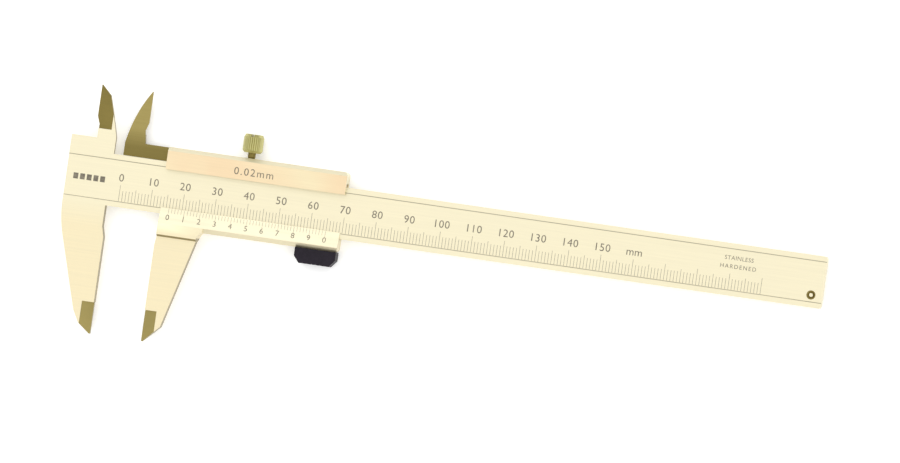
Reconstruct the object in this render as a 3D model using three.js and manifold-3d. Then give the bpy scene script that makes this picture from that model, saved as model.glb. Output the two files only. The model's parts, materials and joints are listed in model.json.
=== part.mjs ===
// A 0-150 mm vernier caliper, in millimetres.
//
// Everything is drawn in the bar frame: X runs along the bar from the plane of the fixed
// outside-measuring face, Y across the bar from its centre line towards the inside jaws, and Z out of
// the graduated face from the bar's mid-thickness. The slider has its own frame, the same but with
// X from its own measuring face. At the end all of it is moved so that the origin is the centre of
// the fixed outside-measuring face.

import * as THREE from "three";
import { mergeVertices } from "three/addons/utils/BufferGeometryUtils.js";
import Module from "manifold-3d";

const wasm = await Module();
wasm.setup();

// ---------------------------------------------------------------- driving dimensions

const opening = 16; // distance between the outside-measuring faces as stored

const bar = {
  width: 16,
  thickness: 3.5,
  end: 222, // far end, from the fixed measuring face
  head: 14.2, // the head reaches this far behind the fixed measuring face
  railWidth: 1.8, // raised sliding surface along each edge
  railHeight: 0.2,
  railSlope: 0.25, // width of the slope from a rail down to the graduated face
  endCorner: 0.8,
};

const fit = {
  slide: 0.06, // slider to bar, on each running face
  gib: 0.05, // gib strip to the bar's upper edge
  blades: 0.15, // between the two half-thickness inside jaws
  thread: 0.1, // radial, screw to its tapped hole
  pin: 0.05, // radial, pin to its drilled hole
  seat: 0.03, // end float of stacked pieces
};

const outsideJaw = {
  length: 39.6, // below the bar's lower edge
  relief: 9.6, // the face is relieved for this far below the bar
  reliefTaper: 3.1, // the last part of the relief, which runs out to the face
  fixedRelief: 0.8,
  movingRelief: 0.4,
  tipLand: 0.4,
  knifeLength: 9.7, // thinned measuring edge at the tip
  knifeWidth: 3.7,
  knifeStep: 0.3, // depth of the thinning where it starts
  knifeDepth: 1.1, // and at the measuring face
};

const fixedJaw = {
  flankTop: { x: -12.7, drop: 10.5 }, // where the sloped back starts, below the bar's lower edge
  flankEnd: { x: -6.0, rise: 6.6 }, // where it ends, above the tip
  shoulder: { x: -4.0, rise: 2.9 },
  backCurve: 5.4, // height of the curve's control point below the bar
};

const movingJaw = {
  flankTop: { x: 12.5, drop: 7.4 },
  flankEnd: { x: 5.4, rise: 5.2 },
  rootEnd: 14.4, // where the flank's hollow curve meets the lower rail
  filletLead: 0.6, // the fillet to the slider turns this far past the flank's top
};

const insideJaw = {
  tip: 20.6, // above the bar's upper edge
  edge: -7.2, // the measuring edge, in X
  rootHeight: 4.3,
  reliefTop: 10.9, // the measuring edge runs from here to the tip
  reliefBottom: 8.5,
  groundFrom: 7.2, // the ground bevel starts here, above the bar
  edgeThickness: 0.55,
  bevelRise: 0.85, // how much thicker the ground part is at its back
  tipLand: 0.2,
};

const fixedBlade = {
  rootEdge: -6.3,
  back: -0.4, // its back face, which the slider stops short of
  groundWidth: 5.0, // of the ground bevel, from the measuring edge
  shoulder: { x: -3.9, drop: 3.0 }, // below the tip
  curveControl: { x: -1.3, rise: 8.9 },
  backCurveEnd: 5.0,
};

const movingBlade = {
  back: -13.8,
  heel: -8.0,
  heelRoot: -7.5,
  curveControl: { x: -12.1, rise: 13.5 },
  backCurveEnd: 4.0,
  legHeight: 4.4,
  legGap: 0.1, // above the bar's upper edge
};

const slider = {
  setback: 0.4, // rails and web start behind the measuring face
  end: 56.4,
  flange: 1.72, // front flange thickness
  web: 1.52, // back web thickness
  upperHeight: 4.6, // rail above the bar's upper edge
  lowerHeight: 4.2, // rail below the bar's lower edge
  upperLip: 2.3, // how far the front flange covers the bar, from its upper edge
  lowerLip: 2.0, // and from its lower edge
  vernierBevel: 4.8, // width of the sloped vernier face
  vernierEdge: 0.22, // thickness left at the vernier's reading edge
  topChamfer: 1.2,
  bottomChamfer: 1.4,
  backChamfer: 0.7,
  rootDrop: 6.4, // the thick part reaches this far below the bar
  stepSlope: 0.6,
  corner: 1.2,
};

const gib = {
  thickness: 0.6,
  width: 3.0,
  start: 3.0,
  endInset: 0.1, // from the slider's far end
  slot: 1.0, // room above the bar's upper edge
};

const setScrew = {
  x: [9.0, 47.5],
  radius: 1.0,
  sink: 0.4, // top below the rail
  dogRadius: 0.5,
  dogLength: 1.0,
  slotWidth: 0.35,
  slotDepth: 0.7,
};

const lockScrew = {
  x: 25.7,
  radius: 1.2,
  knobRadius: 3.1,
  knobHeight: 5.7,
  neck: 1.7, // knob's underside above the rail
  chamfer: 0.5,
  slotWidth: 0.9,
  slotDepth: 0.8,
};

const pad = {
  smaller: 0.05, // radius, than the lock screw's
  thickness: 1.0,
  lift: 0.28, // above the gib strip while the slider is free
};

const grip = {
  start: 43.4,
  end: 56.2,
  height: 4.7,
  thickness: 5.8,
  chamferX: 1.7,
  chamferY: 2.1,
  ridges: 7,
  ridgeDepth: 0.35,
};

const gripScrew = {
  inset: 3.0, // from each end of the grip
  radius: 0.7,
  headRadius: 1.25,
  headHeight: 0.9,
  sink: 0.9, // head below the ridges
  bite: 2.2, // length in the slider
  slotWidth: 0.35,
  slotDepth: 0.4,
};

const cover = {
  railInset: 1.2, // from the slider's upper and lower faces
  endInset: 2.0, // from the slider's ends
  thickness: 0.6,
  corner: 0.8,
};

const coverScrew = {
  insetX: 2.6, // from the cover's ends
  insetY: 1.4, // from the cover's long edges
  radius: 0.6,
  headRadius: 1.1,
  sink: 0.05, // head below the cover's face
  length: 1.8,
};

const stop = {
  endInset: 1.4, // from the bar's far end
  length: 6.0,
  width: 5.8,
  thickness: 1.2,
  edgeGap: 0.9, // from the bar's lower edge
  corner: 0.8,
};

const rivet = {
  endInset: 3.5, // from the bar's far end
  drop: 4.2, // below the centre line
  radius: 0.6,
  headRadius: 1.3,
  headHeight: 0.35,
  sink: 0.2, // front end below the graduated face
  headTaper: 0.4, // by how much the head's outer face is smaller in radius
  countersink: 1.4, // radius at the graduated face
};

const dowel = { toRivet: 2.5, radius: 0.5, depth: 1.2 };

const round = 32; // sides of a turned piece
const past = 1; // how far a cutter runs past what it cuts
const segments = { corner: 12, blade: 16, flank: 8 }; // straight pieces of a curved outline

// ---------------------------------------------------------------- derived places

const barHalf = bar.width / 2;
const front = bar.thickness / 2; // the bar's sliding surfaces
const faceHalf = barHalf - bar.railWidth;
const graduated = front - bar.railHeight;
const jawTip = -barHalf - outsideJaw.length;
const knifeTop = jawTip + outsideJaw.knifeLength;
const reliefEnd = -barHalf - outsideJaw.relief;
const bladeTip = barHalf + insideJaw.tip;

const slotHalf = front + fit.slide;
const sliderFront = slotHalf + slider.flange;
const sliderBack = -slotHalf - slider.web;
const sliderTop = barHalf + slider.upperHeight;
const sliderBottom = -barHalf - slider.lowerHeight;
const slotCeiling = barHalf + gib.slot;
const gibTop = barHalf + fit.gib + gib.thickness;
const padBottom = gibTop + pad.lift;

const coverBox = {
  x0: slider.setback + cover.endInset,
  x1: slider.end - cover.endInset,
  y0: sliderBottom + cover.railInset,
  y1: sliderTop - cover.railInset,
};

const rivetAt = new THREE.Vector2(bar.end - rivet.endInset, -rivet.drop);
const datum = new THREE.Vector3(0, (reliefEnd + knifeTop) / 2, 0);

// ---------------------------------------------------------------- solids

// A closed three.js geometry as a solid that can be cut and joined.
function solid(geometry) {
  const bare = geometry.clone();
  bare.deleteAttribute("normal");
  bare.deleteAttribute("uv");
  const merged = mergeVertices(bare, 1e-4);
  const all = merged.index.array;
  const kept = [];
  for (let i = 0; i < all.length; i += 3) {
    const [a, b, c] = [all[i], all[i + 1], all[i + 2]];
    if (a !== b && b !== c && c !== a) kept.push(a, b, c);
  }
  return new wasm.Manifold(
    new wasm.Mesh({
      numProp: 3,
      vertProperties: merged.attributes.position.array,
      triVerts: new Uint32Array(kept),
    }),
  );
}

// A solid back as a flat-shaded three.js geometry.
function geometryOf(body) {
  const made = body.getMesh();
  const geometry = new THREE.BufferGeometry();
  const points = new Float32Array(made.numVert * 3);
  for (let i = 0; i < made.numVert; i++) {
    points.set(made.vertProperties.subarray(i * made.numProp, i * made.numProp + 3), i * 3);
  }
  geometry.setAttribute("position", new THREE.BufferAttribute(points, 3));
  geometry.setIndex(new THREE.BufferAttribute(made.triVerts, 1));
  const flat = geometry.toNonIndexed();
  flat.computeVertexNormals();
  return flat;
}

function outline(points) {
  return new THREE.Shape(points.map(([a, b]) => new THREE.Vector2(a, b)));
}

// An XY outline from one Z to another.
function plate(shape, from, to, curveSegments = segments.corner) {
  const settings = { depth: to - from, bevelEnabled: false, curveSegments };
  return solid(new THREE.ExtrudeGeometry(shape, settings).translate(0, 0, from));
}

// A YZ outline from one X to another.
function barLike(shape, from, to) {
  const turn = new THREE.Matrix4().makeBasis(
    new THREE.Vector3(0, 1, 0),
    new THREE.Vector3(0, 0, 1),
    new THREE.Vector3(1, 0, 0),
  );
  const settings = { depth: to - from, bevelEnabled: false };
  return solid(new THREE.ExtrudeGeometry(shape, settings).applyMatrix4(turn).translate(from, 0, 0));
}

// An XZ outline from one Y to another.
function across(shape, from, to) {
  const turn = new THREE.Matrix4().makeBasis(
    new THREE.Vector3(1, 0, 0),
    new THREE.Vector3(0, 0, 1),
    new THREE.Vector3(0, -1, 0),
  );
  const settings = { depth: to - from, bevelEnabled: false };
  return solid(new THREE.ExtrudeGeometry(shape, settings).applyMatrix4(turn).translate(0, to, 0));
}

function block(x0, x1, y0, y1, z0, z1) {
  const box = new THREE.BoxGeometry(x1 - x0, y1 - y0, z1 - z0);
  return solid(box.translate((x0 + x1) / 2, (y0 + y1) / 2, (z0 + z1) / 2));
}

// A [radius, height] profile turned about a line through (x, z) along Y.
function turnedAlongY(profile, x, z) {
  const points = profile.map(([radius, height]) => new THREE.Vector2(radius, height));
  return solid(new THREE.LatheGeometry(points, round).translate(x, 0, z));
}

// The same about a line through (x, y) along Z.
function turnedAlongZ(profile, x, y) {
  const points = profile.map(([radius, height]) => new THREE.Vector2(radius, height));
  return solid(new THREE.LatheGeometry(points, round).rotateX(Math.PI / 2).translate(x, y, 0));
}

function rod(radius, from, to) {
  return [
    [0, from],
    [radius, from],
    [radius, to],
    [0, to],
  ];
}

function roundedRectangle(x0, x1, y0, y1, radius) {
  const shape = new THREE.Shape();
  shape.moveTo(x0 + radius, y0);
  shape.lineTo(x1 - radius, y0);
  shape.absarc(x1 - radius, y0 + radius, radius, -Math.PI / 2, 0, false);
  shape.lineTo(x1, y1 - radius);
  shape.absarc(x1 - radius, y1 - radius, radius, 0, Math.PI / 2, false);
  shape.lineTo(x0 + radius, y1);
  shape.absarc(x0 + radius, y1 - radius, radius, Math.PI / 2, Math.PI, false);
  shape.lineTo(x0, y0 + radius);
  shape.absarc(x0 + radius, y0 + radius, radius, Math.PI, 1.5 * Math.PI, false);
  return shape;
}

// The cutter that thins an outside jaw's tip on its front, towards the measuring face. side is -1 for
// the fixed jaw, which lies behind X = 0, and 1 for the moving one.
function knifeCutter(side) {
  const inner = -side * past;
  const outer = side * outsideJaw.knifeWidth;
  const slope = (outsideJaw.knifeDepth - outsideJaw.knifeStep) / outsideJaw.knifeWidth;
  const points = [
    [outer, front - outsideJaw.knifeStep],
    [inner, front - outsideJaw.knifeDepth - slope * past],
    [inner, front + past],
    [outer, front + past],
  ];
  return across(outline(side < 0 ? points : points.reverse()), jawTip - past, knifeTop);
}

// Both faces of a jaw are thinned alike.
function thinned(jaw, side) {
  const cutter = knifeCutter(side);
  return jaw.subtract(cutter).subtract(cutter.mirror([0, 0, 1]));
}

// The ground bevel of an inside jaw, on the face that looks away from the other jaw. It leaves
// edgeThickness at the measuring edge.
function bladeBevel(face, edgeSide, width) {
  const edge = insideJaw.edge - edgeSide * past;
  const back = insideJaw.edge + edgeSide * width;
  const slope = insideJaw.bevelRise / width;
  const thin = fit.blades / 2 + insideJaw.edgeThickness;
  const points = [
    [edge, thin - slope * past],
    [back, thin + insideJaw.bevelRise],
    [back, front + past],
    [edge, front + past],
  ];
  const cutter = across(
    outline(edgeSide > 0 ? points : points.reverse()),
    barHalf + insideJaw.groundFrom,
    bladeTip + past,
  );
  return face > 0 ? cutter : cutter.mirror([0, 0, 1]);
}

// ---------------------------------------------------------------- bar with the fixed jaws

function barAndJawOutline() {
  const corner = bar.endCorner;
  const shape = new THREE.Shape();
  shape.moveTo(-bar.head, barHalf);
  shape.lineTo(-bar.head, -barHalf);
  shape.quadraticCurveTo(
    -bar.head,
    -barHalf - fixedJaw.backCurve,
    fixedJaw.flankTop.x,
    -barHalf - fixedJaw.flankTop.drop,
  );
  shape.lineTo(fixedJaw.flankEnd.x, jawTip + fixedJaw.flankEnd.rise);
  shape.lineTo(fixedJaw.shoulder.x, jawTip + fixedJaw.shoulder.rise);
  shape.lineTo(-outsideJaw.tipLand, jawTip);
  shape.lineTo(0, jawTip);
  shape.lineTo(0, reliefEnd);
  shape.lineTo(-outsideJaw.fixedRelief, reliefEnd + outsideJaw.reliefTaper);
  shape.lineTo(-outsideJaw.fixedRelief, -barHalf);
  shape.lineTo(bar.end - corner, -barHalf);
  shape.absarc(bar.end - corner, -barHalf + corner, corner, -Math.PI / 2, 0, false);
  shape.lineTo(bar.end, barHalf - corner);
  shape.absarc(bar.end - corner, barHalf - corner, corner, 0, Math.PI / 2, false);
  return shape;
}

function fixedBladeOutline() {
  const shape = new THREE.Shape();
  shape.moveTo(-bar.head, barHalf - bar.railWidth / 2);
  shape.lineTo(fixedBlade.back, barHalf - bar.railWidth / 2);
  shape.lineTo(fixedBlade.back, barHalf + fixedBlade.backCurveEnd);
  shape.quadraticCurveTo(
    fixedBlade.curveControl.x,
    barHalf + fixedBlade.curveControl.rise,
    fixedBlade.shoulder.x,
    bladeTip - fixedBlade.shoulder.drop,
  );
  shape.lineTo(insideJaw.edge + insideJaw.tipLand, bladeTip);
  shape.lineTo(insideJaw.edge, bladeTip);
  shape.lineTo(insideJaw.edge, barHalf + insideJaw.reliefTop);
  shape.lineTo(fixedBlade.rootEdge, barHalf + insideJaw.reliefBottom);
  shape.lineTo(fixedBlade.rootEdge, barHalf + insideJaw.rootHeight);
  shape.lineTo(-bar.head, barHalf + insideJaw.rootHeight);
  return shape;
}

function beam() {
  const blade = plate(fixedBladeOutline(), fit.blades / 2, front, segments.blade).subtract(
    bladeBevel(1, 1, fixedBlade.groundWidth),
  );
  const slopeRatio = bar.railSlope / bar.railHeight;
  const graduatedFace = barLike(
    outline([
      [-faceHalf, graduated],
      [faceHalf, graduated],
      [faceHalf + bar.railSlope + past * slopeRatio, front + past],
      [-faceHalf - bar.railSlope - past * slopeRatio, front + past],
    ]),
    -bar.head - past,
    bar.end + past,
  );
  const coneDepth = rivet.countersink - rivet.radius - fit.pin;
  const countersunkHole = turnedAlongZ(
    [
      [0, -front - past],
      [rivet.radius + fit.pin, -front - past],
      [rivet.radius + fit.pin, graduated - coneDepth],
      [rivet.countersink, graduated],
      [rivet.countersink, front + past],
      [0, front + past],
    ],
    rivetAt.x,
    rivetAt.y,
  );
  const dowelHole = turnedAlongZ(
    rod(dowel.radius + fit.pin, -front - past, -front + dowel.depth + fit.seat),
    rivetAt.x - dowel.toRivet,
    rivetAt.y,
  );
  return thinned(plate(barAndJawOutline(), -front, front), -1)
    .add(blade)
    .subtract(graduatedFace)
    .subtract(countersunkHole)
    .subtract(dowelHole);
}

// ---------------------------------------------------------------- slider with the moving jaws

// The section that wraps the bar: rails above and below it, a web behind it, and two front flanges
// that leave the graduations open. The lower flange slopes down to the vernier's reading edge.
function channelSection() {
  return outline([
    [barHalf - slider.upperLip, slotHalf],
    [slotCeiling, slotHalf],
    [slotCeiling, -slotHalf],
    [-barHalf - fit.slide, -slotHalf],
    [-barHalf - fit.slide, slotHalf],
    [-barHalf + slider.lowerLip, slotHalf],
    [-barHalf + slider.lowerLip, slotHalf + slider.vernierEdge],
    [-barHalf + slider.lowerLip - slider.vernierBevel, sliderFront],
    [sliderBottom + slider.bottomChamfer, sliderFront],
    [sliderBottom, sliderFront - slider.bottomChamfer],
    [sliderBottom, sliderBack + slider.backChamfer],
    [sliderBottom + slider.backChamfer, sliderBack],
    [sliderTop - slider.backChamfer, sliderBack],
    [sliderTop, sliderBack + slider.backChamfer],
    [sliderTop, sliderFront - slider.topChamfer],
    [sliderTop - slider.topChamfer, sliderFront],
    [barHalf - slider.upperLip, sliderFront],
  ]);
}

function movingJawOutline() {
  const shape = new THREE.Shape();
  shape.moveTo(slider.setback, -barHalf - fit.slide);
  shape.lineTo(slider.setback, reliefEnd + outsideJaw.reliefTaper);
  shape.lineTo(0, reliefEnd);
  shape.lineTo(0, jawTip);
  shape.lineTo(outsideJaw.tipLand, jawTip);
  shape.lineTo(movingJaw.flankEnd.x, jawTip + movingJaw.flankEnd.rise);
  shape.lineTo(movingJaw.flankTop.x, -barHalf - movingJaw.flankTop.drop);
  shape.quadraticCurveTo(movingJaw.flankTop.x + movingJaw.filletLead, sliderBottom, movingJaw.rootEnd, sliderBottom);
  shape.lineTo(movingJaw.rootEnd, -barHalf - fit.slide);
  return shape;
}

// The slider's full thickness carries on below the lower rail, over the jaw's root, and ends in a
// slope on both faces.
function thickRoot() {
  const foot = -barHalf - slider.rootDrop;
  const top = -barHalf - fit.slide;
  const section = outline([
    [top, sliderBack],
    [top, slotHalf],
    [-barHalf + slider.lowerLip - slider.vernierBevel, sliderFront],
    [foot, sliderFront],
    [foot - slider.stepSlope, front],
    [foot - slider.stepSlope, -front],
    [foot, sliderBack],
  ]);
  const reach = barLike(section, 0, movingJaw.rootEnd);
  return plate(movingJawOutline(), sliderBack - past, sliderFront + past, segments.flank).intersect(reach);
}

function movingBladeOutline() {
  const legTop = barHalf + movingBlade.legHeight;
  const shape = new THREE.Shape();
  shape.moveTo(movingBlade.back, barHalf + movingBlade.legGap);
  shape.lineTo(slider.setback, barHalf + movingBlade.legGap);
  shape.lineTo(slider.setback, slotCeiling);
  shape.lineTo(slider.setback + past, slotCeiling);
  shape.lineTo(slider.setback + past, legTop);
  shape.lineTo(movingBlade.heelRoot, legTop);
  shape.lineTo(movingBlade.heel, barHalf + insideJaw.reliefBottom);
  shape.lineTo(insideJaw.edge, barHalf + insideJaw.reliefTop);
  shape.lineTo(insideJaw.edge, bladeTip);
  shape.lineTo(insideJaw.edge - insideJaw.tipLand, bladeTip);
  shape.quadraticCurveTo(
    movingBlade.curveControl.x,
    barHalf + movingBlade.curveControl.rise,
    movingBlade.back,
    barHalf + movingBlade.backCurveEnd,
  );
  return shape;
}

function sliderBody() {
  const rails = barLike(channelSection(), slider.setback, slider.end).intersect(
    plate(
      roundedRectangle(-slider.end, slider.end, sliderBottom, sliderTop, slider.corner),
      sliderBack - past,
      sliderFront + past,
    ),
  );
  const jaw = thinned(plate(movingJawOutline(), -front, front, segments.flank), 1);
  const bladeWidth = insideJaw.edge - movingBlade.back;
  const blade = plate(movingBladeOutline(), -front, -fit.blades / 2, segments.blade).subtract(
    bladeBevel(-1, -1, bladeWidth),
  );
  const screwHole = (x, radius) =>
    turnedAlongY(rod(radius + fit.thread, slotCeiling - past, sliderTop + past), x, 0);
  const gripHole = (x) =>
    turnedAlongY(
      rod(gripScrew.radius + fit.thread, sliderBottom - past, sliderBottom + gripScrew.bite + fit.seat),
      x,
      0,
    );
  let body = rails.add(thickRoot()).add(jaw).add(blade);
  for (const x of setScrew.x) body = body.subtract(screwHole(x, setScrew.radius));
  body = body.subtract(screwHole(lockScrew.x, lockScrew.radius));
  for (const x of gripScrewPlaces()) body = body.subtract(gripHole(x));
  return body.subtract(coverRecess());
}

// ---------------------------------------------------------------- back cover and its screws

function coverOutline(gap) {
  const { x0, x1, y0, y1 } = coverBox;
  return roundedRectangle(x0 - gap, x1 + gap, y0 - gap, y1 + gap, cover.corner + gap);
}

function coverScrewPlaces() {
  const { x0, x1, y0, y1 } = coverBox;
  const { insetX, insetY } = coverScrew;
  return [
    ["upper_left", x0 + insetX, y1 - insetY],
    ["upper_right", x1 - insetX, y1 - insetY],
    ["lower_left", x0 + insetX, y0 + insetY],
    ["lower_right", x1 - insetX, y0 + insetY],
  ];
}

// The recess in the slider's back that the cover lies in, with the holes for its screws.
function coverRecess() {
  const floor = sliderBack + cover.thickness + fit.seat;
  let cutter = plate(coverOutline(fit.thread), sliderBack - past, floor);
  const end = sliderBack + coverScrew.sink + coverScrew.length + fit.seat;
  for (const [, x, y] of coverScrewPlaces()) {
    cutter = cutter.add(turnedAlongZ(rod(coverScrew.radius + fit.pin, floor - fit.seat, end), x, y));
  }
  return cutter;
}

// A [radius, height] profile of a cover screw, wider by gap all round.
function countersunkProfile(gap, end) {
  const { radius, headRadius, sink } = coverScrew;
  const face = sliderBack + sink;
  return [
    [0, face],
    [headRadius + gap, face],
    [radius + gap, face + headRadius - radius],
    [radius + gap, end],
    [0, end],
  ];
}

function backCover() {
  let body = plate(coverOutline(0), sliderBack, sliderBack + cover.thickness);
  const mouth = rod(coverScrew.headRadius + fit.pin, sliderBack - past, sliderBack + coverScrew.sink);
  const hole = countersunkProfile(fit.pin, sliderBack + cover.thickness + past);
  for (const [, x, y] of coverScrewPlaces()) {
    body = body.subtract(turnedAlongZ(mouth, x, y)).subtract(turnedAlongZ(hole, x, y));
  }
  return body;
}

function backCoverScrew(x, y) {
  const end = sliderBack + coverScrew.sink + coverScrew.length;
  return turnedAlongZ(countersunkProfile(0, end), x, y);
}

// ---------------------------------------------------------------- gib strip and its screws

function gibStrip() {
  const from = barHalf + fit.gib;
  const half = gib.width / 2;
  let strip = across(
    roundedRectangle(gib.start, slider.end - gib.endInset, -half, half, half / 2),
    from,
    from + gib.thickness,
  );
  for (const x of setScrew.x) {
    const hole = rod(setScrew.dogRadius + fit.thread, from - past, gibTop + past);
    strip = strip.subtract(turnedAlongY(hole, x, 0));
  }
  return strip;
}

// Slotted, with a dog point that drops into the strip's hole and keeps it in place.
function gibSetScrew(x) {
  const top = sliderTop - setScrew.sink;
  const dogEnd = gibTop - gib.thickness / 2;
  const shoulder = dogEnd + setScrew.dogLength;
  const screw = turnedAlongY(
    [
      [0, dogEnd],
      [setScrew.dogRadius, dogEnd],
      [setScrew.dogRadius, shoulder],
      [setScrew.radius, shoulder],
      [setScrew.radius, top],
      [0, top],
    ],
    x,
    0,
  );
  return screw.subtract(slotAcross(x, top, setScrew.radius, setScrew.slotWidth, -setScrew.slotDepth));
}

// A screwdriver slot along Z in a face at height y. depth is signed: negative cuts downwards.
function slotAcross(x, y, radius, width, depth) {
  const y0 = Math.min(y + depth, y - Math.sign(depth) * past);
  const y1 = Math.max(y + depth, y - Math.sign(depth) * past);
  const reach = radius + past;
  return block(x - width / 2, x + width / 2, y0, y1, -reach, reach);
}

// ---------------------------------------------------------------- lock screw and its pad

function lockPad() {
  const radius = lockScrew.radius - pad.smaller;
  return turnedAlongY(rod(radius, padBottom, padBottom + pad.thickness), lockScrew.x, 0);
}

function lockScrewBody() {
  const tip = padBottom + pad.thickness + fit.seat;
  const under = sliderTop + lockScrew.neck;
  const top = under + lockScrew.knobHeight;
  const { radius, knobRadius, chamfer } = lockScrew;
  const screw = turnedAlongY(
    [
      [0, tip],
      [radius - chamfer / 2, tip],
      [radius, tip + chamfer / 2],
      [radius, under],
      [knobRadius - chamfer, under],
      [knobRadius, under + chamfer],
      [knobRadius, top - chamfer],
      [knobRadius - chamfer, top],
      [0, top],
    ],
    lockScrew.x,
    0,
  );
  return screw.subtract(
    slotAcross(lockScrew.x, top, knobRadius, lockScrew.slotWidth, -lockScrew.slotDepth),
  );
}

// ---------------------------------------------------------------- thumb grip

function gripScrewPlaces() {
  return [grip.start + gripScrew.inset, grip.end - gripScrew.inset];
}

function thumbGrip() {
  const foot = sliderBottom - grip.height;
  const ridged = grip.end - grip.start - 2 * grip.chamferX;
  const pitch = ridged / grip.ridges;
  const shape = new THREE.Shape();
  shape.moveTo(grip.start, sliderBottom);
  shape.lineTo(grip.start, foot + grip.chamferY);
  shape.lineTo(grip.start + grip.chamferX, foot);
  for (let i = 1; i < grip.ridges; i++) {
    const x = grip.start + grip.chamferX + i * pitch;
    shape.lineTo(x - pitch / 4, foot);
    shape.lineTo(x, foot + grip.ridgeDepth);
    shape.lineTo(x + pitch / 4, foot);
  }
  shape.lineTo(grip.end - grip.chamferX, foot);
  shape.lineTo(grip.end, foot + grip.chamferY);
  shape.lineTo(grip.end, sliderBottom);
  let body = plate(shape, -grip.thickness / 2, grip.thickness / 2);
  const seat = foot + gripScrew.sink + gripScrew.headHeight;
  for (const x of gripScrewPlaces()) {
    const hole = [
      [0, foot - past],
      [gripScrew.headRadius + fit.thread, foot - past],
      [gripScrew.headRadius + fit.thread, seat],
      [gripScrew.radius + fit.thread, seat],
      [gripScrew.radius + fit.thread, sliderBottom + past],
      [0, sliderBottom + past],
    ];
    body = body.subtract(turnedAlongY(hole, x, 0));
  }
  return body;
}

function thumbGripScrew(x) {
  const headBottom = sliderBottom - grip.height + gripScrew.sink;
  const headTop = headBottom + gripScrew.headHeight;
  const screw = turnedAlongY(
    [
      [0, headBottom],
      [gripScrew.headRadius, headBottom],
      [gripScrew.headRadius, headTop],
      [gripScrew.radius, headTop],
      [gripScrew.radius, sliderBottom + gripScrew.bite],
      [0, sliderBottom + gripScrew.bite],
    ],
    x,
    0,
  );
  const slot = slotAcross(x, headBottom, gripScrew.headRadius, gripScrew.slotWidth, gripScrew.slotDepth);
  return screw.subtract(slot);
}

// ---------------------------------------------------------------- end stop behind the bar

function endStop() {
  const x1 = bar.end - stop.endInset;
  const y0 = -barHalf + stop.edgeGap;
  const shape = roundedRectangle(x1 - stop.length, x1, y0, y0 + stop.width, stop.corner);
  const hole = (radius, x) =>
    turnedAlongZ(rod(radius + fit.pin, -front - stop.thickness - past, -front + past), x, rivetAt.y);
  return plate(shape, -front - stop.thickness, -front)
    .subtract(hole(rivet.radius, rivetAt.x))
    .subtract(hole(dowel.radius, rivetAt.x - dowel.toRivet));
}

function endStopRivet() {
  const seat = -front - stop.thickness - fit.seat;
  return turnedAlongZ(
    [
      [0, seat - rivet.headHeight],
      [rivet.headRadius - rivet.headTaper, seat - rivet.headHeight],
      [rivet.headRadius, seat],
      [rivet.radius, seat],
      [rivet.radius, graduated - rivet.sink],
      [0, graduated - rivet.sink],
    ],
    rivetAt.x,
    rivetAt.y,
  );
}

function endStopDowel() {
  const span = rod(dowel.radius, -front - stop.thickness, -front + dowel.depth);
  return turnedAlongZ(span, rivetAt.x - dowel.toRivet, rivetAt.y);
}

// ---------------------------------------------------------------- assembly

const finishes = {
  satin: { color: 0xf3e8cd, roughness: 0.42, metalness: 0.75 },
  ground: { color: 0x9a8a55, roughness: 0.35, metalness: 0.9 },
  bronze: { color: 0xb98a4a, roughness: 0.4, metalness: 0.9 },
  brass: { color: 0xc9a452, roughness: 0.35, metalness: 0.9 },
  black: { color: 0x2a282c, roughness: 0.55, metalness: 0.0 },
};

function piece(name, body, finish) {
  const made = new THREE.Mesh(geometryOf(body), new THREE.MeshStandardMaterial(finishes[finish]));
  made.name = name;
  return made;
}

const caliper = new THREE.Group();
const drawing = new THREE.Group(); // the bar frame
drawing.position.copy(datum).negate();
caliper.add(drawing);
drawing.add(
  piece("beam", beam(), "satin"),
  piece("end_stop", endStop(), "satin"),
  piece("end_stop_rivet", endStopRivet(), "satin"),
  piece("end_stop_dowel", endStopDowel(), "ground"),
);

const carriage = new THREE.Group(); // the slider's frame
carriage.position.x = opening;
drawing.add(carriage);
const [leftPlace, rightPlace] = gripScrewPlaces();
carriage.add(
  piece("slider", sliderBody(), "satin"),
  piece("gib_strip", gibStrip(), "bronze"),
  piece("gib_set_screw_left", gibSetScrew(setScrew.x[0]), "ground"),
  piece("gib_set_screw_right", gibSetScrew(setScrew.x[1]), "ground"),
  piece("lock_pad", lockPad(), "brass"),
  piece("lock_screw", lockScrewBody(), "ground"),
  piece("thumb_grip", thumbGrip(), "black"),
  piece("thumb_grip_screw_left", thumbGripScrew(leftPlace), "ground"),
  piece("thumb_grip_screw_right", thumbGripScrew(rightPlace), "ground"),
  piece("back_cover", backCover(), "satin"),
);
for (const [place, x, y] of coverScrewPlaces()) {
  carriage.add(piece(`back_cover_screw_${place}`, backCoverScrew(x, y), "ground"));
}

export default caliper;
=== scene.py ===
import json
import math
from functools import partial

import bpy
from mathutils import Matrix, Vector


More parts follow.
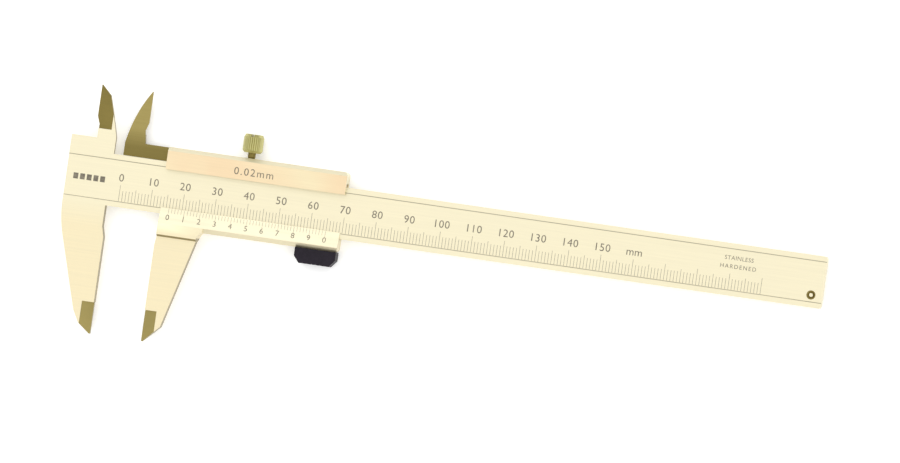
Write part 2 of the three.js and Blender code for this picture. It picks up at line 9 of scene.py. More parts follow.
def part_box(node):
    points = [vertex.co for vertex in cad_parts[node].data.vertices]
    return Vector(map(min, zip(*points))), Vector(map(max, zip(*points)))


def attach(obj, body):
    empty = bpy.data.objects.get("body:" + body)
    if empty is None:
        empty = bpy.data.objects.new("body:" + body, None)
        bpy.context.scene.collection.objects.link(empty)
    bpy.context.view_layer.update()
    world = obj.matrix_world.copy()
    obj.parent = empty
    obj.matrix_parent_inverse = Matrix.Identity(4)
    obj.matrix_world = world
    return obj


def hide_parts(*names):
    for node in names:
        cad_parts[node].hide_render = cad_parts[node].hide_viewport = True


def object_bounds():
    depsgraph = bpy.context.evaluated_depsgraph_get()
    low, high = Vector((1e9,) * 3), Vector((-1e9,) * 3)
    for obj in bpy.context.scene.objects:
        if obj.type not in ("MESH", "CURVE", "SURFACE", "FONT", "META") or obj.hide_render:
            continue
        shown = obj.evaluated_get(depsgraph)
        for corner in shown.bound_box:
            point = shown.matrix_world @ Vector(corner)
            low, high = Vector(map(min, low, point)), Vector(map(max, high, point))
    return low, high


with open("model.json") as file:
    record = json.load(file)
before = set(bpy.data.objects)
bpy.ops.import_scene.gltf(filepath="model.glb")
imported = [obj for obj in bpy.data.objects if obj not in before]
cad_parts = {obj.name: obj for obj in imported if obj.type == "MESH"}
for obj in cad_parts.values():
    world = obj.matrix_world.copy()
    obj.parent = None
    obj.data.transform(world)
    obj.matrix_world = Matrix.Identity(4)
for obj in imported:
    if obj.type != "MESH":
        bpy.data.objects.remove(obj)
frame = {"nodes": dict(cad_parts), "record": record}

bl_info = {
    "name": "Vernier caliper",
    "version": (1, 0, 0),
    "blender": (4, 5, 0),
    "location": "3D View > Sidebar > Caliper",
    "description": "Finishes, graduations and small parts for a vernier caliper",
    "category": "Add Mesh",
}

MM = 0.001
CAD_BOX = [list(corner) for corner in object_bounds()]
BAR_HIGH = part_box("beam")[1]
SLIDER_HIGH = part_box("slider")[1]
KNOB_LOW, KNOB_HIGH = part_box("lock_screw")
RIVET_LOW, RIVET_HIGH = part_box("end_stop_rivet")
MOUNTS = {mount["name"]: Vector(mount["pos_m"]) for mount in frame["record"]["mounts"]}

# The fixed measuring face is X = 0. The moving one is at SLIDER_X.
SLIDER_X = MOUNTS["moving_measuring_face"].x
BAR_Y = MOUNTS["back_face"].y  # the bar's centre line
FRONT = BAR_HIGH.z  # the bar's sliding surfaces
GRADUATED = FRONT - 0.2 * MM
SLIDER_FRONT = SLIDER_HIGH.z

# Heights above the bar's centre line, where a shape or a finish changes.
BLADE_FOOT = 15.0 * MM  # the ground bevel of the fixed inside jaw
BAR_EDGE = 8.2 * MM  # just past the bar's upper and lower edges
LEG_FOOT = 8.0 * MM  # the slider's thin leg
RAIL_FOOT = 5.5 * MM  # the slider's upper rail
READING_EDGE = -6.0 * MM  # the thin edge of the vernier's slope
SLOPE_FOOT = -10.8 * MM
FLANK_TOP = -14.0 * MM  # the slanted flank of the moving outside jaw
STEP = (-15.5 * MM, -13.4 * MM)  # the shoulder above the moving outside jaw
TIP_STEP = -37.7 * MM  # where the outside jaws are thinned

# Distances along the bar from the measuring face of the same jaw.
TIP_WIDTH = 3.9 * MM
BLADE_SIDE = -2.4 * MM
LEG_END = 0.35 * MM

# Which way a face looks: the least share of its normal along an axis.
FACES_ALONG = 0.5
FACES_FRONT = 0.9
LEVEL = 0.999

# Scratches and mottling of brushed metal, in patterns a metre along X, Y and Z.
FINE_SCRATCHES = (60, 7000, 7000)
COARSE_SCRATCHES = (25, 1400, 1400)
MOTTLING = (38, 38, 38)

CAPITAL_SHARE = 0.70  # height of a capital letter in its font's size
WIDE = {"figures": 1.08, "reading": 1.22, "upper word": 1.1, "lower word": 1.3}  # letter spacing


# ------------------------------------------------------------------ sizes and colours


def length(label, text, default, low=0.0, high=1.0):
    return bpy.props.FloatProperty(
        name=label, description=text, default=default, min=low, max=high,
        subtype="DISTANCE", unit="LENGTH", precision=5,
    )


def colour(label, text, default):
    return bpy.props.FloatVectorProperty(
        name=label, description=text, default=default, size=3, min=0.0, max=1.0, subtype="COLOR",
    )


def number(label, text, default, **settings):
    return bpy.props.FloatProperty(name=label, description=text, default=default, **settings)


class CALIPER_PG_edges(bpy.types.PropertyGroup):
    """How far the sharp edges of each piece are broken."""

    body: length("Bar and slider", "Width of the broken edges of the bar and the slider", 0.12 * MM)
    small: length("Small parts", "Width of the broken edges of screws and pins", 0.06 * MM)
    grip: length("Grip", "Width of the rounded edges of the thumb grip", 0.28 * MM)


class CALIPER_PG_scale(bpy.types.PropertyGroup):
    """The graduations and figures on the bar and the slider."""

    zero: length("Zero", "Distance of both zero lines from the measuring faces", 3.0 * MM)
    line: length("Line width", "Width of a bar graduation", 0.11 * MM)
    vernier_line: length("Vernier line width", "Width of a vernier graduation", 0.09 * MM)
    ink: length("Fill height", "How far the filled lines stand out", 0.012 * MM)
    low: length("Foot", "Where the lines start, below the centre line", 6.15 * MM)
    one: length("1 mm line", "Length of a 1 mm line", 3.3 * MM)
    five: length("5 mm line", "Length of a 5 mm line", 4.05 * MM)
    ten: length("10 mm line", "Length of a 10 mm line", 4.9 * MM)
    figure: length("Figure height", "Height of the bar's figures", 2.35 * MM)
    vernier_figure: length("Vernier figure height", "Height of the vernier's figures", 1.75 * MM)
    reading: length("Reading height", "Height of the reading's lettering", 2.3 * MM)
    reading_depth: length("Reading depth", "How deep the reading is engraved", 0.03 * MM)
    word: length("Word height", "Height of the steel's two words", 1.25 * MM)
    block: length("Block width", "Width of the plain blocks on the head", 1.5 * MM)


class CALIPER_PG_finish(bpy.types.PropertyGroup):
    """Colours of the finishes."""

    satin: colour("Satin", "Satin chrome of the bar", (0.83, 0.765, 0.55))
    jaw: colour("Jaws", "Satin chrome of the outside jaws", (0.83, 0.725, 0.475))
    warm: colour("Upper rail", "Satin chrome of the slider's upper rail", (0.83, 0.65, 0.415))
    ground: colour("Ground", "Ground inside jaws", (0.195, 0.153, 0.043))
    # also the lighter end of the painted reflection up the slider's leg, and the painted shade of the
    # countersink
    tip: colour("Tips", "Ground tips of the outside jaws", (0.37, 0.30, 0.105))
    # painted shade on faces turned from the light (jaw sides, flank and step); the jaws' measuring faces
    # among them are also ground
    side: colour("Sides", "Ground sides of the jaws", (0.30, 0.25, 0.13))
    knob: colour("Knob", "Knurled lock screw", (0.48, 0.45, 0.20))
    grip: colour("Grip", "Thumb grip", (0.019, 0.015, 0.022))
    ink: colour("Fill", "Filling of the lines and figures", (0.135, 0.118, 0.085))


class CALIPER_PG_stage(bpy.types.PropertyGroup):
    """Floor, lights and camera."""

    floor: number("Floor", "Whiteness of the floor", 0.93, min=0, max=1)
    sky: number("Sky", "Strength of the light from above", 1.12, min=0)
    horizon: number("Horizon", "The same, from the sides", 0.6, min=0)
    roll: number("Roll", "Turn of the caliper in the view", math.radians(8.15), subtype="ANGLE")
    side: number("Side", "How far the camera looks from the bar's end", math.radians(8), subtype="ANGLE")
    distance: length("Distance", "From the camera to the caliper", 4.602, 0.1, 10)


# ------------------------------------------------------------------ shader expressions


class Signal:
    """A shader socket that can be used in sums, products and comparisons."""

    def __init__(self, shading, socket):
        self.shading = shading
        self.socket = socket

    def _math(self, operation, first, second):
        return self.shading.node("ShaderNodeMath", {"operation": operation}, {0: first, 1: second})

    def __add__(self, other):
        return self._math("ADD", self, other)

    def __radd__(self, other):
        return self._math("ADD", other, self)

    def __sub__(self, other):
        return self._math("SUBTRACT", self, other)

    def __rsub__(self, other):
        return self._math("SUBTRACT", other, self)

    def __mul__(self, other):
        return self._math("MULTIPLY", self, other)

    def __rmul__(self, other):
        return self._math("MULTIPLY", other, self)


class Shading:
    """The nodes of a material or of the sky."""

    def __init__(self, tree, coordinates):
        self.tree = tree
        self.place = self.node("ShaderNodeTexCoord", {}, {}, coordinates)

    def feed(self, socket, value):
        if isinstance(value, Signal):
            self.tree.links.new(value.socket, socket)
        else:
            socket.default_value = value

    def node(self, kind, settings, inputs, output=0):
        made = self.tree.nodes.new(kind)
        for name, value in settings.items():
            if name == "stops":
                self.set_stops(made.color_ramp, value)
            else:
                setattr(made, name, value)
        for name, value in inputs.items():
            self.feed(made.inputs[name], value)
        return Signal(self, made.outputs[output])

    @staticmethod
    def set_stops(ramp, stops):
        for element, (position, shade) in zip(ramp.elements, stops):
            element.position = position
            element.color = shade

    def mapped(self, scale, turn=0.0):
        inputs = {"Vector": self.place, "Scale": scale, "Rotation": (0, 0, turn)}
        return self.node("ShaderNodeMapping", {}, inputs)

    def noise(self, where, scale, detail=2.0):
        inputs = {"Vector": where, "Scale": scale, "Detail": detail}
        return self.node("ShaderNodeTexNoise", {}, inputs, "Fac")

    def ramp(self, value, low, high):
        stops = [(low, (0, 0, 0, 1)), (high, (1, 1, 1, 1))]
        return self.node("ShaderNodeValToRGB", {"stops": stops}, {"Fac": value})

    def mix(self, factor, first, second):
        """Between two colours."""
        made = self.tree.nodes.new("ShaderNodeMix")
        made.data_type = "RGBA"
        self.feed(made.inputs[0], factor)
        self.feed(made.inputs[6], first)
        self.feed(made.inputs[7], second)
        return Signal(self, made.outputs[2])

    def axis(self, index):
        return self.node("ShaderNodeSeparateXYZ", {}, {0: self.place}, index)

    def fade(self, index, start, end):
        """0 before start and 1 after end, along one axis."""
        return self.ramp((self.axis(index) - start) * (1 / (end - start)), 0.0, 1.0)


class Finish(Shading):
    """A material in the making."""

    def __init__(self, name):
        self.material = bpy.data.materials.new(f"{name}_finish")
        self.material.use_nodes = True
        super().__init__(self.material.node_tree, "Object")
        self.surface = self.tree.nodes["Principled BSDF"]

    def bump(self, height, strength, distance):
        inputs = {"Height": height, "Strength": strength, "Distance": distance}
        self.feed(self.surface.inputs["Normal"], self.node("ShaderNodeBump", {}, inputs))

    def set(self, **inputs):
        for name, value in inputs.items():
            self.feed(self.surface.inputs[name.replace("_", " ")], value)


def rgba(shade, factor=1.0):
    return (shade[0] * factor, shade[1] * factor, shade[2] * factor, 1.0)


def metal(name, shade, other, turn=0.0, rough=0.36, metallic=0.8, fade=None, contrast=0.18):
    """Brushed metal: long fine scratches along one direction, and broad soft mottling between two
    shades. fade is (axis, start, end): the shade changes to the other along it instead."""
    finish = Finish(name)
    fine = finish.noise(finish.mapped(FINE_SCRATCHES, turn), 1.0, 3.0)
    coarse = finish.noise(finish.mapped(COARSE_SCRATCHES, turn), 1.0, 2.0)
    broad = finish.noise(finish.mapped(MOTTLING), 1.0, 2.0)
    scratch = fine * 0.6 + coarse * 0.4
    share = finish.fade(*fade) * 0.85 + broad * 0.15 if fade else finish.ramp(broad, 0.40, 0.66)
    streak = finish.ramp(scratch, 0.36, 0.66)
    shades = finish.mix(share, rgba(shade), rgba(other))
    finish.set(
        Base_Color=finish.mix(streak * contrast, shades, rgba(shade, 0.7)),
        Metallic=metallic,
        Roughness=rough + (scratch - 0.5) * 0.22 + (broad - 0.5) * 0.12,
    )
    finish.bump(scratch, 0.30, 0.03 * MM)
    return finish.material


def satin_chrome():
    """Even on the bar, and warmer down the outside jaws."""
    colours = bpy.context.scene.caliper_finish
    return metal("satin_chrome", colours.satin, colours.jaw, fade=(1, BAR_Y - 7 * MM, BAR_Y - 15 * MM))


def warm_chrome():
    colours = bpy.context.scene.caliper_finish
    return metal("warm_chrome", colours.warm, colours.jaw)


def shaded_vernier_chrome():
    """Painted shade: the satin chrome made darker than the rest on the slope that faces the light."""
    shade = [c * 0.87 for c in bpy.context.scene.caliper_finish.satin]
    return metal("shaded_vernier_chrome", shade, [c * 0.97 for c in shade])


def shaded_channel_wall():
    # Painted shade: the satin chrome made darker on the channel's walls, as the dark line along the
    # recess's edges.
    shade = [c * 0.62 for c in bpy.context.scene.caliper_finish.satin]
    return metal("shaded_channel_wall", shade, [c * 0.9 for c in shade])


def ground_blade():
    colours = bpy.context.scene.caliper_finish
    other = [c * 1.25 for c in colours.ground]
    return metal("ground_blade", colours.ground, other, math.radians(75), 0.36, 0.9)


def ground_leg_and_sheen():
    """Ground steel, dark along the leg, with a painted reflection that lightens it up the blade."""
    colours = bpy.context.scene.caliper_finish
    return metal("ground_leg_and_sheen", colours.ground, colours.tip, math.radians(62), 0.36, 0.9,
                 (1, BAR_Y + 11 * MM, BAR_Y + 17 * MM))


def ground_tip():
    colours = bpy.context.scene.caliper_finish
    other = [c * 0.8 for c in colours.tip]
    return metal("ground_tip", colours.tip, other, math.radians(80), 0.36, 0.9)


def shaded_side():
    """Faces seen from the side, darkened as painted shade; the jaws' measuring faces among them are also
    ground.
    """
    colours = bpy.context.scene.caliper_finish
    return metal("shaded_side", colours.side, [c * 1.15 for c in colours.side], 0.0, 0.36, 0.9)


def plain_steel():
    return metal("plain_steel", (0.24, 0.215, 0.15), (0.32, 0.285, 0.2), math.radians(20), 0.36, 0.85)


def bronze():
    return metal("bronze", (0.52, 0.33, 0.12), (0.60, 0.40, 0.18), 0.0, 0.4, 0.85)


def knurled_steel():
    colours = bpy.context.scene.caliper_finish
    other = [c * 1.3 for c in colours.knob]
    return metal("knurled_steel", colours.knob, other, math.radians(90), 0.36, 0.97)


def black_grip():
    colours = bpy.context.scene.caliper_finish
    finish = Finish("black_grip")
    grain = finish.noise(finish.mapped((2600, 2600, 2600)), 1.0, 3.0)
    broad = finish.noise(finish.mapped((160, 160, 160)), 1.0, 2.0)
    finish.set(
        Base_Color=finish.mix(finish.ramp(grain * 0.5 + broad * 0.5, 0.35, 0.7),
                              rgba(colours.grip, 0.6), rgba(colours.grip, 1.3)),
        Roughness=0.48 + (grain - 0.5) * 0.3 + (broad - 0.5) * 0.1,
        Specular_IOR_Level=0.12,
    )
    finish.bump(grain, 0.35, 0.04 * MM)
    return finish.material


def filling():
    """The dark filling of engraved lines and figures."""
    colours = bpy.context.scene.caliper_finish
    finish = Finish("filling")
    worn = finish.noise(finish.mapped((900, 900, 900)), 1.0, 3.0)
    finish.set(
        Base_Color=finish.mix(finish.ramp(worn, 0.42, 0.75), rgba(colours.ink), rgba(colours.ink, 1.9)),
        Roughness=0.6 + (worn - 0.5) * 0.2,
    )
    return finish.material


def floor_white():
    finish = Finish("floor_white")
    shade = bpy.context.scene.caliper_stage.floor
    soft = finish.noise(finish.mapped((3, 3, 3)), 1.0, 2.0)
    finish.set(
        Base_Color=finish.mix(soft, (shade, shade, shade, 1), (shade, shade, shade * 0.99, 1)),
        Roughness=0.9,
        Emission_Color=(1, 1, 1, 1),
        Emission_Strength=0.25,
    )
    return finish.material


MAKERS = {
    "satin_chrome": satin_chrome,
    "warm_chrome": warm_chrome,
    "shaded_vernier_chrome": shaded_vernier_chrome,
    "shaded_channel_wall": shaded_channel_wall,
    "ground_blade": ground_blade,
    "ground_leg_and_sheen": ground_leg_and_sheen,
    "ground_tip": ground_tip,
    "shaded_side": shaded_side,
    "plain_steel": plain_steel,
    "bronze": bronze,
    "knurled_steel": knurled_steel,
    "black_grip": black_grip,
    "filling": filling,
    "floor_white": floor_white,
}


def finish_named(name):
    return bpy.data.materials.get(f"{name}_finish") or MAKERS[name]()


# ------------------------------------------------------------------ modelling helpers


def deselect():
    bpy.ops.object.select_all(action="DESELECT")


def make_active(piece):
    deselect()
    piece.select_set(True)
    bpy.context.view_layer.objects.active = piece


def edit(piece, *steps, points=None):
    """Run the steps in edit mode, at first with the vertices that pass the test selected, or else
    with everything selected."""
    make_active(piece)
    if points:
        mesh = piece.data
        for group in (mesh.edges, mesh.polygons):
            group.foreach_set("select", [False] * len(group))
        mesh.vertices.foreach_set("select", [points(vertex) for vertex in mesh.vertices])
    bpy.ops.object.mode_set(mode="EDIT")
    if not points:
        bpy.ops.mesh.select_all(action="SELECT")
    for step in steps:
        step()
    bpy.ops.object.mode_set(mode="OBJECT")


def apply_modifier(piece, kind, **settings):
    make_active(piece)
    bpy.ops.object.modifier_add(type=kind)
    modifier = piece.modifiers[-1]
    for name, value in settings.items():
        setattr(modifier, name, value)
    bpy.ops.object.modifier_apply(modifier=modifier.name)


def apply_place(piece):
    make_active(piece)
    bpy.ops.object.transform_apply(location=True, rotation=True, scale=True)


def join(pieces, name):
    deselect()
    for piece in pieces:
        piece.select_set(True)
    bpy.context.view_layer.objects.active = pieces[0]
    if len(pieces) > 1:
        bpy.ops.object.join()
    pieces[0].name = name
    return pieces[0]


def smooth(piece, degrees=32.0):
    """Smooth over curves only: wide faces keep their own direction right up to their broken edges."""
    make_active(piece)
    bpy.ops.object.shade_smooth_by_angle(angle=math.radians(degrees))
    apply_modifier(piece, "WEIGHTED_NORMAL", keep_sharp=True, weight=100)


def give(piece, *finishes):
    piece.data.materials.clear()
    for name in finishes:
        piece.data.materials.append(finish_named(name))


def copy_of(node, name):
    """A copy of a frame node with its loose triangles merged into whole faces."""
    source = frame["nodes"][node]
    piece = source.copy()
    piece.data = source.data.copy()
    piece.name = name
    for key in list(piece.keys()):
        del piece[key]
    piece.parent = None
    piece.matrix_world = Matrix.Identity(4)
    bpy.context.scene.collection.objects.link(piece)
    edit(
        piece,
        lambda: bpy.ops.mesh.remove_doubles(threshold=2e-7),
        lambda: bpy.ops.mesh.dissolve_limited(angle_limit=math.radians(0.6)),
    )
    return piece


def break_edges(piece, width, segments=2):
    apply_modifier(
        piece, "BEVEL",
        width=width, segments=segments, limit_method="ANGLE", angle_limit=math.radians(24),
        use_clamp_overlap=True, miter_outer="MITER_ARC",
    )


def cut(piece, tool):
    apply_modifier(piece, "BOOLEAN", operation="DIFFERENCE", object=tool, solver="EXACT")


def move(piece, x=0.0, y=0.0, z=0.0):
    make_active(piece)
    bpy.ops.transform.translate(value=(x, y, z))
    apply_place(piece)


def box(name, middle, size, turn=(0.0, 0.0, 0.0)):
    """A plain block, turned about its own middle."""
    deselect()
    bpy.ops.mesh.primitive_cube_add(size=1, location=middle, rotation=turn)
    piece = bpy.context.object
    piece.name = name
    piece.scale = size
    apply_place(piece)
    return piece


def turned(name, x, z, profile, sides, grooves=None):
    """A piece turned about a line along Y. The profile lists (y, radius) from one end to the other.
    With grooves as (every, scale), the outline is drawn in by that scale at every so many points."""
    (y, radius), *rest = profile
    deselect()
    bpy.ops.mesh.primitive_circle_add(
        vertices=sides, radius=radius, fill_type="NGON",
        location=(x, y, z), rotation=(math.radians(90), 0, 0),
    )
    piece = bpy.context.object
    piece.name = name
    apply_place(piece)

    def resize(scale):
        bpy.ops.transform.resize(value=(scale, 1, scale), center_override=(x, 0, z))

    def grow(rise, scale):
        bpy.ops.mesh.extrude_region_move(TRANSFORM_OT_translate={"value": (0, rise, 0)})
        resize(scale)

    if grooves:
        every, scale = grooves
        edit(piece, lambda: resize(scale), points=lambda vertex: vertex.index % every == 0)
    steps = []
    for next_y, next_radius in rest:
        steps.append(partial(grow, next_y - y, next_radius / radius))
        y, radius = next_y, next_radius
    edit(
        piece, *steps,
        lambda: bpy.ops.mesh.select_all(action="SELECT"),
        lambda: bpy.ops.mesh.normals_make_consistent(inside=False),
    )
    return piece


def settle(piece, body, slot, *nodes):
    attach(piece, body)
    if nodes:
        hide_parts(*nodes)
    return piece


# ------------------------------------------------------------------ bar and slider


def is_tip(centre, normal):
    """Below the step where an outside jaw is thinned, on its front or back."""
    return centre.y - BAR_Y < TIP_STEP and abs(normal.z) > 0.2


def is_bar_tip(centre, normal):
    return centre.x > -TIP_WIDTH and is_tip(centre, normal)


def is_slider_tip(centre, normal):
    return centre.x - SLIDER_X < TIP_WIDTH and is_tip(centre, normal)


def is_bar_side(centre, normal):
    """The faces of the fixed jaws that look along the bar, darkened partly as their ground finish and
    partly as painted shade.
    """
    return abs(centre.y - BAR_Y) > BAR_EDGE and normal.x > FACES_ALONG


def is_channel_wall(centre, normal):
    """The walls of the bar's graduated channel, which get painted shade."""
    return GRADUATED < centre.z < FRONT and abs(normal.y) > 0.3


# the vernier's slope, which gets painted shade: a darker copy of the satin chrome
def is_vernier_slope(centre, normal):
    return centre.y - BAR_Y < READING_EDGE - 0.1 * MM and FACES_FRONT < normal.z < LEVEL


def is_flank(centre, normal):
    """The slanted flank of the moving outside jaw, darkened as painted shade."""
    return centre.y - BAR_Y < FLANK_TOP and normal.x > FACES_ALONG


def is_step(centre, normal):
    """The shoulder above the moving outside jaw, darkened as painted shade."""
    return STEP[0] < centre.y - BAR_Y < STEP[1] and normal.y < -FACES_ALONG and normal.z > 0.1


def is_blade(centre, normal):
    """The ground bevel of the fixed inside jaw."""
    return centre.y - BAR_Y > BLADE_FOOT and centre.x < BLADE_SIDE and normal.z > -FACES_ALONG


def is_leg(centre, normal):
    """The slider's half-thickness leg and inside jaw."""
    return centre.y - BAR_Y > LEG_FOOT and centre.x - SLIDER_X < LEG_END


def is_upper_rail(centre, normal):
    return centre.y - BAR_Y > RAIL_FOOT and normal.z > FACES_FRONT


def is_shaded_countersink(centre, normal):
    """The bar's countersink round the rivet of the end stop, darkened with the tip finish as painted
    shade.
    """
    middle = (RIVET_LOW + RIVET_HIGH) / 2
    away = Vector((centre.x - middle.x, centre.y - middle.y))
    countersink = 1.42 * MM
    return away.length < countersink and centre.z < GRADUATED - 0.01 * MM


def colour_faces(piece, rules):
    """Give each face the first slot whose rule it passes, or else slot 0."""
    for face in piece.data.polygons:
        face.material_index = next((i for i, rule in rules if rule(face.center, face.normal)), 0)


class CALIPER_OT_bar(bpy.types.Operator):
    """Bar with the fixed jaws: broken edges, satin faces and ground tips, with painted shade on the jaws'
    sides, the channel walls and the countersink
    """

    bl_idname = "caliper.bar"
    bl_label = "Bar"

    def execute(self, context):
        bar = copy_of("beam", "bar_body")
        give(bar, "satin_chrome", "ground_blade", "ground_tip", "shaded_side", "shaded_channel_wall")
        # painted shade: the tip finish darkens the countersink, the side finish the jaws' sides, and the
        # channel walls get darker satin
        colour_faces(bar, [(1, is_blade), (2, is_bar_tip), (2, is_shaded_countersink), (3, is_bar_side),
                           (4, is_channel_wall)])
        break_edges(bar, context.scene.caliper_edges.body)
        smooth(bar)
        settle(bar, "bar", "satin_steel", "beam")
        return {"FINISHED"}


class CALIPER_OT_slider(bpy.types.Operator):
    """Slider with the moving jaws: broken edges, satin faces, ground leg and tips, engraved reading; a
    painted reflection up the leg, and painted shade on the flank, the step and the vernier's slope
    """

    bl_idname = "caliper.slider"
    bl_label = "Slider"

    def execute(self, context):
        slider = copy_of("slider", "slider_body")
        give(slider, "satin_chrome", "ground_leg_and_sheen", "ground_tip", "warm_chrome", "shaded_side",
             "shaded_vernier_chrome")
        # painted reflection up the leg; painted shade on the flank, the step and the vernier's slope
        colour_faces(slider, [(1, is_leg), (2, is_slider_tip), (3, is_upper_rail), (4, is_flank),
                              (4, is_step), (5, is_vernier_slope)])
        break_edges(slider, context.scene.caliper_edges.body)
        scale = context.scene.caliper_scale
        across, up = 27.7 * MM, 8.15 * MM
        reading = lettering("0.02mm", "reading", SLIDER_X + across, BAR_Y + up, SLIDER_FRONT,
                            scale.reading, scale.reading_depth, 0, WIDE["reading"])
        edit(reading, lambda: bpy.ops.mesh.remove_doubles(threshold=1e-7))
        cut(slider, reading)
        move(reading, z=-1.2 * scale.reading_depth)
        smooth(slider)
        settle(reading, "slider", "dark_steel")
        settle(slider, "slider", "satin_steel", "slider")
        return {"FINISHED"}


# ------------------------------------------------------------------ graduations and figures


def line_row(name, x, width, y0, y1, z, height, count, pitch, tilt=0.0):
    """A row of filled lines, each tilted about X."""
    piece = box(name, (x, (y0 + y1) / 2, z), (width, y1 - y0, height), (tilt, 0, 0))
    apply_modifier(
        piece, "ARRAY", count=count, use_relative_offset=False, use_constant_offset=True,
        constant_offset_displace=(pitch, 0, 0),
    )
    give(piece, "filling")
    return piece


def lettering(text, name, x, y, z, height, ink, tilt=0.0, spacing=1.0):
    """Filled lettering, centred on (x, y)."""
    deselect()
    bpy.ops.object.text_add()
    piece = bpy.context.object
    body = piece.data
    body.body = text
    body.align_x = "CENTER"
    body.align_y = "CENTER"
    body.size = height / CAPITAL_SHARE
    body.space_character = spacing
    body.resolution_u = 3
    body.extrude = ink
    bpy.ops.object.convert(target="MESH")
    piece = bpy.context.object
    piece.name = name
    piece.rotation_euler = (tilt, 0, 0)
    piece.location = (x, y, z)
    apply_place(piece)
    give(piece, "filling")
    return piece


class CALIPER_OT_bar_scale(bpy.types.Operator):
    """Millimetre lines and figures on the bar"""

    bl_idname = "caliper.bar_scale"
    bl_label = "Bar scale"

    def execute(self, context):
        scale = context.scene.caliper_scale
        foot = BAR_Y - scale.low

        def row(name, first, count, pitch, y0, y1):
            return line_row(name, scale.zero + first * MM, scale.line, foot + y0, foot + y1, GRADUATED,
                            2 * scale.ink, count, pitch * MM)

        lines = [
            row("lines", 0, 201, 1, 0, scale.one),
            row("lines_5", 5, 20, 10, scale.one, scale.five),
            row("lines_10", 0, 21, 10, scale.one, scale.ten),
        ]
        settle(join(lines, "bar_graduations"), "bar", "dark_steel")
        middle = BAR_Y + 0.94 * MM
        figures = [
            lettering(str(value), f"figure_{value}", scale.zero + value * MM, middle, GRADUATED,
                      scale.figure, scale.ink, 0, WIDE["figures"])
            for value in range(0, 160, 10)
        ]
        figures.append(lettering("mm", "unit", scale.zero + 160 * MM, middle, GRADUATED, scale.figure,
                                 scale.ink))
        settle(join(figures, "bar_figures"), "bar", "dark_steel")
        return {"FINISHED"}


class CALIPER_OT_vernier(bpy.types.Operator):
    """Vernier lines and figures on the slider's sloped edge"""

    bl_idname = "caliper.vernier"
    bl_label = "Vernier"

    def execute(self, context):
        scale = context.scene.caliper_scale
        # the slope runs from the reading edge down to the flange's full thickness
        edge = Vector((0, READING_EDGE, FRONT + 0.28 * MM))
        low = Vector((0, SLOPE_FOOT, SLIDER_FRONT))
        tilt = -math.atan2(low.z - edge.z, edge.y - low.y)

        def on_slope(y):
            share = (edge.y - y) / (edge.y - low.y)
            return edge.z + share * (low.z - edge.z)

        start = SLIDER_X + scale.zero
        pitch = 0.98 * MM

        def row(name, first, count, step, y0, y1):
            return line_row(name, start + first * pitch, scale.vernier_line, BAR_Y + y0, BAR_Y + y1,
                            on_slope((y0 + y1) / 2), 2 * scale.ink, count, step * pitch, tilt)

        lines = [
            row("lines", 0, 51, 1, -7.6 * MM, -6.15 * MM),
            row("lines_5", 0, 11, 5, -8.0 * MM, -7.6 * MM),
        ]
        settle(join(lines, "vernier_graduations"), "slider", "dark_steel")
        middle = -9.0 * MM
        figures = [
            lettering(str(i % 10), f"vernier_{i}", start + 5 * i * pitch, BAR_Y + middle, on_slope(middle),
                      scale.vernier_figure, scale.ink, tilt)
            for i in range(11)
        ]
        settle(join(figures, "vernier_figures"), "slider", "dark_steel")
        return {"FINISHED"}


class CALIPER_OT_marks(bpy.types.Operator):
    """Plain marks on the bar: a divided bar on the head, and the steel's two words near the end"""

    bl_idname = "caliper.marks"
    bl_label = "Marks"

    def execute(self, context):
        scale = context.scene.caliper_scale
        left, pitch = -11.2 * MM, 2.1 * MM
        blocks = [
            line_row(f"block_{i}", left + i * pitch, scale.block, BAR_Y - 1.1 * MM, BAR_Y + 0.7 * MM,
                     GRADUATED, 2 * scale.ink, 1, 0)
            for i in range(5)
        ]
        settle(join(blocks, "head_mark"), "bar", "dark_steel")
        middle = 195.2 * MM
        words = [
            lettering("STAINLESS", "word_1", middle, BAR_Y + 3.5 * MM, GRADUATED, scale.word, scale.ink, 0,
                      WIDE["upper word"]),
            lettering("HARDENED", "word_2", middle, BAR_Y + 0.9 * MM, GRADUATED, scale.word, scale.ink, 0,
                      WIDE["lower word"]),
        ]
        settle(join(words, "steel_mark"), "bar", "dark_steel")
        return {"FINISHED"}


# ------------------------------------------------------------------ lock screw, grip and small parts


